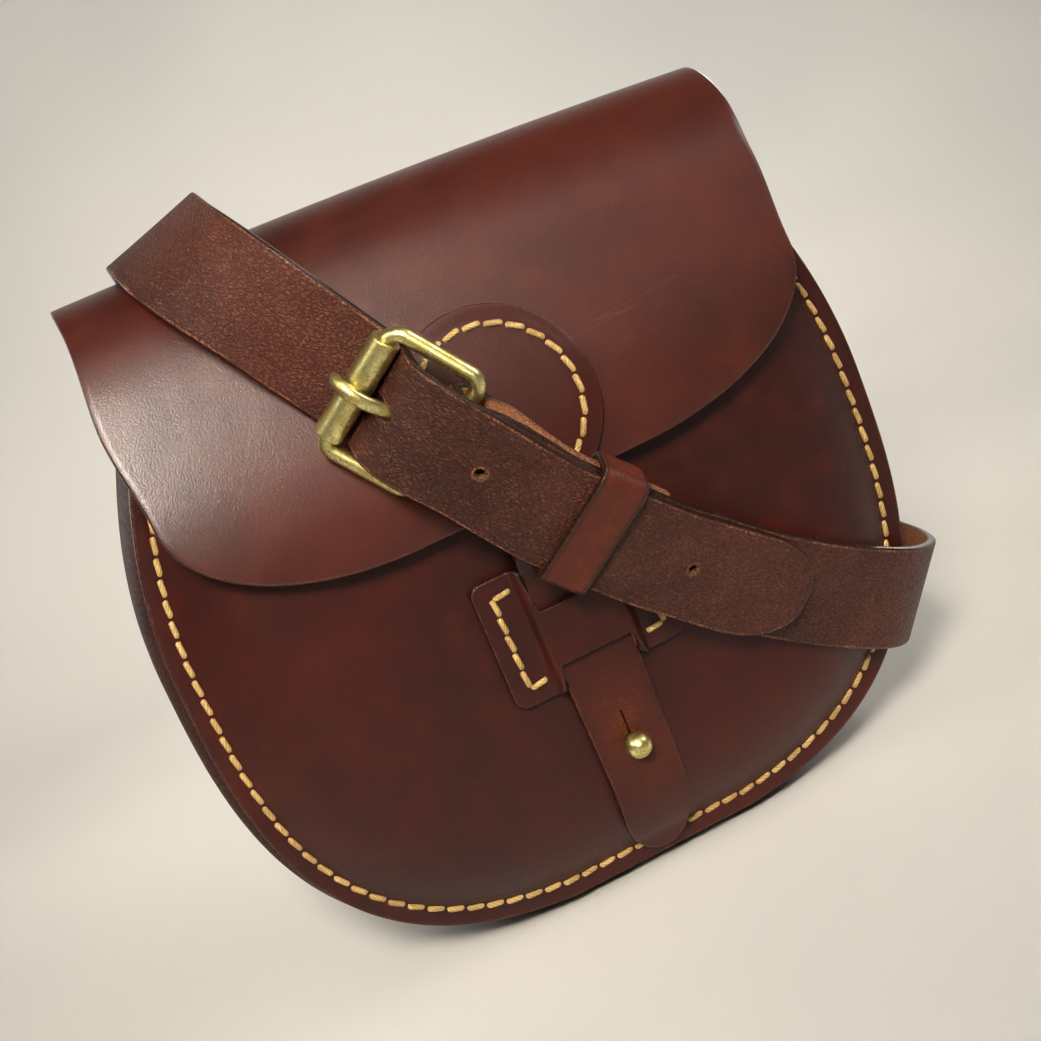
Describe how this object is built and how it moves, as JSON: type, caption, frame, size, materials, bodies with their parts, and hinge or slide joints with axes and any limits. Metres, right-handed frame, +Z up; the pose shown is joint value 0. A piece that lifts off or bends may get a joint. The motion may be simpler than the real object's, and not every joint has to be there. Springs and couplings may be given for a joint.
{
  "type": "crossbody bag",
  "caption": "Small saddle-shaped leather crossbody bag with a folded flap, tongue closure and a buckled strap wrapped round the body.",
  "frame": {"origin": "middle of the flat underside of the gusset, where the bag rests", "axes": "+Z up, +X to the right seen from the front, the front with the flap faces -Y"},
  "size_m": [0.2509, 0.1332, 0.2502],
  "materials": {
    "panel_leather": "smooth waxed reddish brown leather, semi-gloss",
    "gusset_leather": "dark brown leather, satin",
    "strap_leather": "brown grained leather with burnished edges",
    "loop_leather": "smooth tan-brown leather",
    "brass": "aged solid brass, lightly scratched"
  },
  "bodies": {
    "root": {"back_and_flap": "panel_leather", "front_panel": "panel_leather", "gusset": "gusset_leather", "closing_tongue": "panel_leather", "tongue_keeper": "panel_leather", "closing_stud": "brass", "long_strap": "strap_leather", "short_strap": "strap_leather", "strap_loop": "loop_leather", "buckle_frame": "brass", "buckle_roller": "brass", "buckle_prong": "brass", "strap_rivet_left": "brass", "strap_rivet_right": "brass"}
  },
  "joints": []
}
